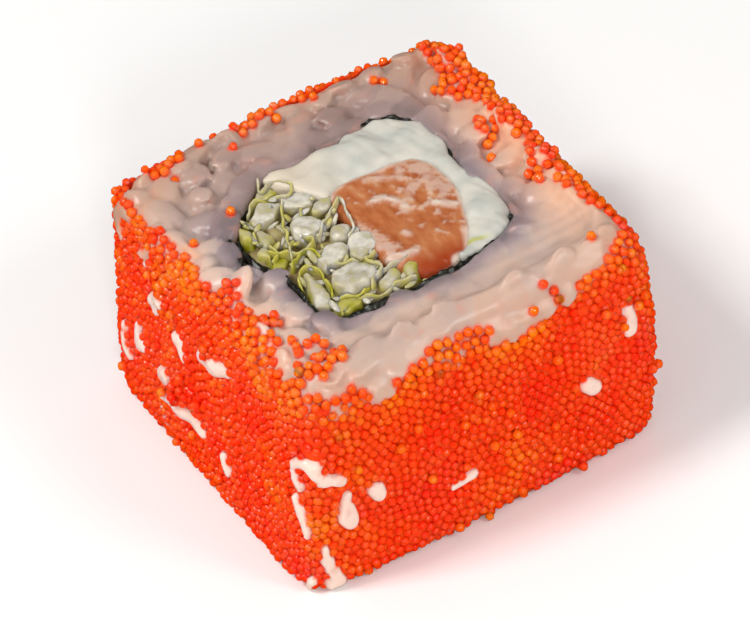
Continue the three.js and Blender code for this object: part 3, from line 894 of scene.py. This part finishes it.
for x, y, length, width, turn, top, green in RIBS:
    middle = heart + Vector((x, y, 0)) * MM
    middle.z = (top - RIB_DEPTH / 2) * MM
    bpy.ops.object.select_all(action="DESELECT")
    tilt = (*shaper.uniform(-0.16, 0.16, 2), math.radians(turn))
    bpy.ops.mesh.primitive_cube_add(size=1, location=middle, rotation=tilt)
    rib = bpy.context.object
    # A little too large, for its corners are cut away below.
    rib.scale = (1.18 * length * MM, 1.22 * width * MM, RIB_DEPTH * MM)
    bpy.ops.object.transform_apply(location=True, rotation=True, scale=True)
    # Each corner of the shred was broken or cut off at its own slant.
    bpy.ops.object.mode_set(mode="EDIT")
    for k in range(7):
        bearing = math.tau * (k + shaper.uniform(0, 0.7)) / 7
        way = Vector((math.cos(bearing), math.sin(bearing), shaper.uniform(-0.15, 0.7))).normalized()
        reach = 0.6 * (length if abs(math.cos(bearing - math.radians(turn))) > 0.7 else width)
        cut = middle + way * reach * shaper.uniform(0.82, 1.05) * MM
        bpy.ops.mesh.select_all(action="SELECT")
        bpy.ops.mesh.bisect(plane_co=cut, plane_no=way, clear_outer=True, use_fill=True)
    bpy.ops.object.mode_set(mode="OBJECT")
    apply_modifier(rib, "BEVEL", width=0.35 * MM, segments=2, limit_method="ANGLE")
    even_skin(rib, RIB_MESH, times=2)
    roughen(rib, 1.4 * MM, 0.4 * MM)
    roughen(rib, 0.5 * MM, 0.05 * MM)
    keep_shred(green, 0.45)

for path, top, green in STRIPS:
    bpy.ops.object.select_all(action="DESELECT")
    bpy.ops.curve.primitive_bezier_curve_add()
    strip = bpy.context.object
    spline = strip.data.splines[0]
    spline.bezier_points.add(len(path) - 2)
    for point, (x, y) in zip(spline.bezier_points, path):
        point.co = heart + Vector((x, y, 0)) * MM
        point.co.z = 0
        point.handle_left_type = point.handle_right_type = "AUTO"
    strip.data.dimensions = "2D"
    strip.data.fill_mode = "NONE"
    strip.data.extrude = STRIP_DEPTH / 2 * MM
    strip.data.resolution_u = 8
    strip.location = (0, 0, (top - 1.25) * MM)
    pick(strip)
    bpy.ops.object.convert(target="MESH")
    bpy.ops.object.transform_apply(location=True, rotation=True, scale=True)
    strip = bpy.context.object
    bpy.ops.object.mode_set(mode="EDIT")
    bpy.ops.mesh.select_all(action="SELECT")
    bpy.ops.mesh.remove_doubles(threshold=0.001 * MM)
    bpy.ops.mesh.subdivide(number_cuts=2)
    bpy.ops.object.mode_set(mode="OBJECT")
    # The edge that shows rises and falls, and leans over where the leaf is thin.
    places = read_points(strip)
    upper = ramp(places[:, 2] / MM, top - 1.8, top)
    waves = ((600, 0, 0.5), (600, 5400, 0.5), (900, 18, 0.6))
    for axis, (often, layer, height) in enumerate(waves):
        curl = noise_at(read_points(strip)[:, :2] * often, layer)
        places[:, axis] += upper * curl * height * MM
    move_points(strip, places)
    apply_modifier(strip, "SOLIDIFY", thickness=LEAF * MM, offset=0)
    apply_modifier(strip, "SUBSURF", levels=1, render_levels=1)
    roughen(strip, 0.8 * MM, 0.14 * MM)
    keep_shred(0.75 * green)

# Crumbs of leaf and rib, small slivers that fill the spaces between the shreds.
bpy.ops.object.select_all(action="DESELECT")
bpy.ops.mesh.primitive_uv_sphere_add(segments=8, ring_count=6, radius=0.5)
crumb = bpy.context.object
crumb_points = read_points(crumb)
crumb_points[:, 2] += 0.5 * crumb_points[:, 0] ** 2
# None lies inside a piece of rib, where only a speck of it would show.
cabbage_bed = surface_of(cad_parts["cabbage"])
rib_surfaces = [surface_of(rib) for rib in shreds[: len(RIBS)]]
crumbs, crumb_greens = [], []
down = Vector((0, 0, -1))
for _ in range(CRUMB_TRIES):
    x, y = shaper.uniform((-11, -11), (1, 12)) * MM + np.array(heart.xy)
    above = Vector((x, y, 30 * MM))
    spot, _, _, _ = cabbage_bed.ray_cast(above, down)
    if spot and spot.z > 22.5 * MM:
        sizes = np.array([shaper.uniform(*span) for span in ((0.9, 2.2), (0.4, 0.9), (0.3, 0.6))])
        spin = Matrix.Rotation(shaper.uniform(0, math.tau), 3, "Z")
        tilt = Matrix.Rotation(shaper.uniform(-0.9, 0.9), 3, "Y")
        spot.z = shaper.uniform(22.9, 23.7) * MM
        green = shaper.uniform(0.0, 0.5)
        tops = [rib.ray_cast(above, down)[0] for rib in rib_surfaces]
        if all(top is None or top.z < spot.z - 0.1 * MM for top in tops):
            crumbs.append((crumb_points * sizes * MM) @ np.array(spin @ tilt).T + np.array(spot))
            crumb_greens.append(green)
shreds.append(joined_copies("crumbs", crumb, np.array(crumbs), green=crumb_greens))
cabbage_shreds = joined("cabbage_shreds", shreds)

cabbage = copy_of("cabbage", "cabbage_core")
even_skin(cabbage, times=5)
swell(cabbage, 0.25 * MM)
places = read_points(cabbage)
top = ramp(places[:, 2] / MM, 20, 21)
places[:, 2] -= top * 0.8 * MM
places[:, 0] -= top * 0.5 * MM
move_points(cabbage, places)
roughen(cabbage, 1.5 * MM, 0.8 * MM)
stay_on_table(cabbage)

# Raw cabbage: crisp cells full of water, IOR about 1.38, wet and lit through.
raw_cabbage, tree, shader = new_material(
    "raw_cabbage",
    Roughness=0.2,
    IOR=1.38,
    Subsurface_Weight=0.8,
    Subsurface_Radius=(1.0, 0.95, 0.5),
    Subsurface_Scale=1.1 * MM,
)
green = add_node(tree, "Attribute", attribute_name="green").outputs["Fac"]
place = add_node(tree, "TexCoord").outputs["Object"]
veins = add_node(tree, "TexNoise", {"Vector": place, "Scale": 1 / (0.9 * MM), "Detail": 3}).outputs["Fac"]
green = add_node(tree, "Math", {0: veins, 1: 0.9, 2: green}, operation="MULTIPLY_ADD").outputs[0]
green = add_node(tree, "Math", {0: green, 1: 0.4}, operation="SUBTRACT").outputs[0]
LEAF_TONES = [(0, "#cdc7ba"), (1, "#918e12"), (0.22, "#b1a996"), (0.6, "#b0a758")]
leaf = add_node(tree, "ValToRGB", {"Fac": green}, LEAF_TONES).outputs["Color"]
tree.links.new(leaf, shader.inputs["Base Color"])
finish_piece(cabbage_shreds, raw_cabbage, "shredded_cabbage")

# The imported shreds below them: the same leaf, duller, and brown in its own shade.
deep_cabbage, tree, shader = new_material("cabbage_in_shadow", Roughness=0.4, IOR=1.38)
place = add_node(tree, "TexCoord").outputs["Object"]
mottle = add_node(tree, "TexNoise", {"Vector": place, "Scale": 1 / (1.5 * MM), "Detail": 3}).outputs["Fac"]
shade = add_node(tree, "ValToRGB", {"Fac": mottle}, [(0.35, "#7c6440"), (0.7, "#aa9c6a")]).outputs["Color"]
tree.links.new(shade, shader.inputs["Base Color"])
finish_piece(cabbage, deep_cabbage, "shredded_cabbage", "cabbage")


# ---- Roe ----
# Flying-fish roe: firm round eggs about a millimetre across, dyed orange, glossy and clear enough
# that light glows in them. The rice roll was turned in them, so they lie one deep and close packed.

EGG = 1.06  # diameter
EGG_GAP = 1.0  # between neighbours' centres
STREWN = 1.2 / EGG_GAP**2  # eggs to a square millimetre
ROUNDS = 19  # of pushing
PUSHED = 1.06 * EGG_GAP  # how near two may come before they push each other away
ROOM = 0.93 * EGG_GAP  # room enough for one more
RIM_ROOM = 0.86 * EGG_GAP  # the same up on the rim, where they lie more loosely
ON_TOP = 90  # how many lie on the others

# They are strewn over the coat's outer side and upper edge, and push each other to an even spacing.
coat.data.calc_loop_triangles()
corners = read_points(coat)[[list(t.vertices) for t in coat.data.loop_triangles]]
outs = np.cross(corners[:, 1] - corners[:, 0], corners[:, 2] - corners[:, 0]) / 2
areas = np.linalg.norm(outs, axis=1)
centres = corners.mean(1)
radial = unit(centres * (1, 1, 0))
outward, upward = (outs * radial).sum(1) / areas, outs[:, 2] / areas
outer = ((outward > 0.35) | (upward > 0.5)) & (centres[:, 2] > 0.3 * MM)
weights = np.where(outer, areas, 0)
count = int(weights.sum() / MM**2 * STREWN)
chosen = random.choice(len(corners), count, p=weights / weights.sum())
a, b = random.uniform(0, 1, (2, count))
a, b = np.where(a + b > 1, 1 - a, a), np.where(a + b > 1, 1 - b, b)
tri = corners[chosen]
eggs = tri[:, 0] + a[:, None] * (tri[:, 1] - tri[:, 0]) + b[:, None] * (tri[:, 2] - tri[:, 0])
nest = nest_of(eggs)
for _ in range(ROUNDS):
    moved = eggs.copy()
    for i, egg in enumerate(eggs):
        for near, j, distance in nest.find_range(egg, PUSHED * MM):
            if j != i and distance > 0:
                moved[i] += (egg - np.array(near)) / distance * (PUSHED * MM - distance) * 0.35
    eggs = np.array([coat_surface.find_nearest(egg)[0] for egg in moved])
    nest = nest_of(eggs)
# Any hollow left that has room for an egg gets one.
chosen = random.choice(len(corners), count * 8, p=weights / weights.sum())
shares = random.dirichlet((1, 1, 1), count * 8)
added = []
for spot in (corners[chosen] * shares[:, :, None]).sum(1):
    if nest.find(spot)[2] > ROOM * MM:
        if all(np.linalg.norm(spot - other) > ROOM * MM for other in added):
            added.append(spot)
eggs = np.concatenate([eggs, added])


def depth_in_rice(spot):
    """How deep a spot lies in the rice, in millimetres, or how far out of it where that is negative."""
    near, normal, _, _ = rice_surface.find_nearest(spot)
    return (near - spot).dot(normal) / MM


eggs_laid = []  # each egg's middle, outward direction, and its painted glow, more where the eggs lie high and thin
for egg in eggs:
    spot, normal, _, _ = coat_surface.find_nearest(egg)
    radial = Vector((spot.x, spot.y, 0)).normalized()
    # The far rim is covered all along.
    covered = roe_covers(spot) or spot.y > heart.y + 18 * MM
    if max(normal.dot(radial), normal.z) > 0.2 and depth_in_rice(spot) < 0.3 and covered:
        depth = (EGG / 2 + random.normal(0, 0.07) - 0.5 * ramp(normal.z, 0.3, 0.8)) * MM
        # Painted light: higher up, where the coat is thin, eggs are painted a lighter orange, as if lit
        # through.
        thin = float(ramp(spot.z / MM, 17, 22.5))
        eggs_laid.append((spot - normal * depth, normal, thin))
# Along the rim they creep up on to the rice, further here than there.
rice_points = read_points(rice)
rim = []
for distance, place in zip(to_roe, rice_points):
    if distance < 4.5 and place[2] > 18 * MM and roe_covers(place):
        rim.append((distance, *place))
near_by = nest_of([middle for middle, _, _ in eggs_laid])
crept = []
for _, *place in sorted(rim):
    spot, normal, _, _ = rice_surface.find_nearest(Vector(place))
    middle = spot + normal * 0.15 * MM
    if near_by.find(middle)[2] > RIM_ROOM * MM:
        if all((middle - other[0]).length > RIM_ROOM * MM for other in crept):
            crept.append((middle, normal, 1))
eggs_laid += crept
# Some lie on top of the others, in the hollows.
for k in random.choice(len(eggs_laid), ON_TOP, replace=False):
    middle, normal, _ = eggs_laid[k]
    side = normal.orthogonal().normalized()
    eggs_laid.append((middle + normal * 0.6 * MM + side * 0.5 * MM, normal, 1))

# Eggs that the roll dropped on the cut face: the points that each group lies along, from the heart of the
# filling, its width, and how many.
DROPPED = [
    ([(-10.0, 9.0)], 0, 1),
    ([(-14.9, 7.9)], 0, 1),
    ([(-14.2, -10.6), (-14.4, -11.8), (-13.2, -12.1), (-11.9, -12.7)], 0.5, 8),
    ([(-14.6, -12.8), (-15.6, -14.6), (-16.4, -16.6)], 0.3, 6),
    ([(-15.0, -15.5), (-14.2, -16.7)], 0.9, 6),
    ([(-13.2, -14.8), (-11.7, -14.6), (-12.2, -16.2)], 1.0, 10),
    ([(-5.2, -20.6), (-4.3, -20.9)], 0.5, 5),
    ([(-0.4, -21.3), (0.6, -21.4), (1.2, -22.2)], 0.8, 10),
    ([(8.7, -18.2), (9.7, -19.4)], 0.2, 4),
    ([(9.6, -20.8), (10.4, -21.0)], 0.3, 3),
    ([(15.4, -16.7)], 0, 1),
    ([(6.8, -19.5)], 0, 1),
    ([(17.2, -18.4)], 0, 1),
    ([(16.9, -18.6), (17.4, -19.2)], 0.5, 3),
    ([(16.4, 13.0), (16.8, 11.0)], 0.9, 7),
    ([(14.8, 0.6)], 0, 1),
    ([(16.6, 6.0), (15.8, 3.4)], 0.8, 6),
    ([(17.2, -3.0), (16.4, -5.6)], 0.7, 6),
    ([(-13.0, 19.4), (-10.4, 20.0)], 1.2, 9),
    ([(-7.4, 20.4)], 0.6, 3),
    ([(-3.0, 20.0), (1.0, 20.6)], 1.1, 11),
    ([(5.4, 19.8)], 0.3, 2),
]
for path, wide, number in DROPPED:
    tries = []
    for _ in range(number * 60):
        share = random.uniform(0, len(path) - 1)
        x, y = (np.interp(share, range(len(path)), along) for along in zip(*path))
        off = random.uniform(-0.8, 0.8, 2) * wide
        tries.append((math.hypot(*off), x + off[0], y + off[1]))
    dropped = []
    for _, x, y in sorted(tries):
        start = heart + Vector((x, y, 30)) * MM
        spot, normal, _, _ = rice_surface.ray_cast(start, Vector((0, 0, -1)))
        if spot and spot.z > 17 * MM and len(dropped) < number:
            spot += normal * 0.28 * MM
            if all((spot - other[0]).length > EGG * 0.84 * MM for other in dropped + crept):
                # Painted light: eggs on the cut face get the most painted glow.
                dropped.append((spot, normal, 1.5))
    eggs_laid += dropped

# The rice under them has taken up their colour.
near_by = nest_of([middle for middle, _, _ in eggs_laid])
gaps = np.array([near_by.find(place)[2] for place in rice_points]) / (EGG * MM)
keep_values(rice, "juice", 0.85 * ramp(-gaps, -0.66, -0.42))

# One egg: a ball with its rings pulled up towards the pole that shows.
bpy.ops.object.select_all(action="DESELECT")
bpy.ops.mesh.primitive_uv_sphere_add(segments=9, ring_count=3, radius=0.5)
egg_model = bpy.context.object
for vertex in egg_model.data.vertices:
    if abs(vertex.co.z) < 0.4:
        turn = math.radians(43 if vertex.co.z > 0 else 98)
        flat = vertex.co.xy.normalized() * math.sin(turn) * 0.5
        vertex.co = (*flat, math.cos(turn) * 0.5)
egg_points = read_points(egg_model)
placed = []
for middle, normal, _ in eggs_laid:
    spin = Matrix.Rotation(random.uniform(0, math.tau), 3, "Z")
    lean = Vector(normal) + Vector(random.uniform(-0.25, 0.25, 3))
    axes = np.array((lean.to_track_quat("Z", "Y").to_matrix() @ spin).transposed())
    size = EGG * MM * random.uniform(0.88, 1.1)
    middle = np.array(middle)
    middle[2] = max(middle[2], size / 2)
    placed.append(egg_points @ axes * size + middle)
roe = joined_copies(
    "roe",
    egg_model,
    np.array(placed),
    shade=random.uniform(0, 1, len(placed)),
    thin=[thin for _, _, thin in eggs_laid],
    crown=np.tile(egg_points[:, 2] + 0.5, (len(placed), 1)),
)

# Under the eggs lies their juice, with the next eggs' backs pressed into it.
places, normals = read_points(coat), read_points(coat, "normal")
outward = (normals * unit(places * (1, 1, 0))).sum(1)
places -= normals * np.where(outward > 0.2, 0.5, 0.1)[:, None] * MM
# It is drawn up a little against the rim of the rice.
places[:, 2] += 0.1 * ramp(places[:, 2] / MM, 18.5, 20) * MM
move_points(coat, places)
stay_on_table(coat)

# Roe: water and oil in a clear skin, IOR about 1.36. Light passes from egg to egg, so that even the
# hollows between them glow, and only the wetter eggs flash.
flying_fish_roe, tree, shader = new_material(
    "flying_fish_roe",
    IOR=1.36,
    Subsurface_Weight=0.7,
    Subsurface_Radius=(1.0, 0.25, 0.05),
    Subsurface_Scale=1 * MM,
    Specular_IOR_Level=0.8,
    Coat_Weight=0.6,
    Coat_Roughness=0.06,
    Coat_IOR=1.6,
)
own, thin, crown = (
    add_node(tree, "Attribute", attribute_name=name).outputs["Fac"]
    for name in ("shade", "thin", "crown")
)
place = add_node(tree, "TexCoord").outputs["Object"]
tone = add_node(tree, "TexNoise", {"Vector": place, "Scale": 1 / (6 * MM), "Detail": 4}).outputs["Fac"]
# Painted light: the painted glow turns high, thinly covered eggs and those on the cut face more orange.
for source in (own, thin):
    tone = add_node(tree, "Math", {0: source, 1: 0.2, 2: tone}, operation="MULTIPLY_ADD").outputs[0]
ORANGES = [(0.4, "#ff2c06"), (0.95, "#ff7a08"), (0.7, "#ff4a08")]
orange = add_node(tree, "ValToRGB", {"Fac": tone}, ORANGES).outputs["Color"]
# Painted shade: each is darkened down its sides, where it meets the next.
side_shade = add_node(tree, "ValToRGB", {"Fac": crown}, [(0.3, "#ff9a70"), (0.85, "#ffffff")]).outputs["Color"]
mixed = {0: 0.8, 6: orange, 7: side_shade}
orange = add_node(tree, "Mix", mixed, data_type="RGBA", blend_type="MULTIPLY").outputs[2]
tree.links.new(orange, shader.inputs["Base Color"])
wetness = add_node(tree, "MapRange", {"Value": own, "To Min": 0.04, "To Max": 0.2}).outputs[0]
tree.links.new(wetness, shader.inputs["Roughness"])
finish_piece(roe, flying_fish_roe, "flying_fish_roe")

# The juice that fills the gaps: the roe's own colour, duller, marked by the backs of eggs a gap apart.
roe_juice, tree, shader = new_material(
    "roe_juice",
    Roughness=0.4,
    IOR=1.36,
    Specular_IOR_Level=0.2,
    Subsurface_Weight=0.7,
    Subsurface_Radius=(1.0, 0.25, 0.05),
    Subsurface_Scale=1 * MM,
)
place = add_node(tree, "TexCoord").outputs["Object"]
backs = add_node(tree, "TexVoronoi", {"Vector": place, "Scale": 1 / (EGG_GAP * MM)}).outputs["Distance"]
juice = add_node(tree, "ValToRGB", {"Fac": backs}, [(0.1, "#ff4a06"), (0.7, "#fb3804")]).outputs["Color"]
tree.links.new(juice, shader.inputs["Base Color"])
finish_piece(coat, roe_juice, "flying_fish_roe", "roe_coat")

for model in (grain, egg_model, crumb):
    bpy.data.objects.remove(model)

visual_low, visual_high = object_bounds()
sizes = {
    "frame": [list(cad_low), list(cad_high)],
    "visual": [list(visual_low), list(visual_high)],
}
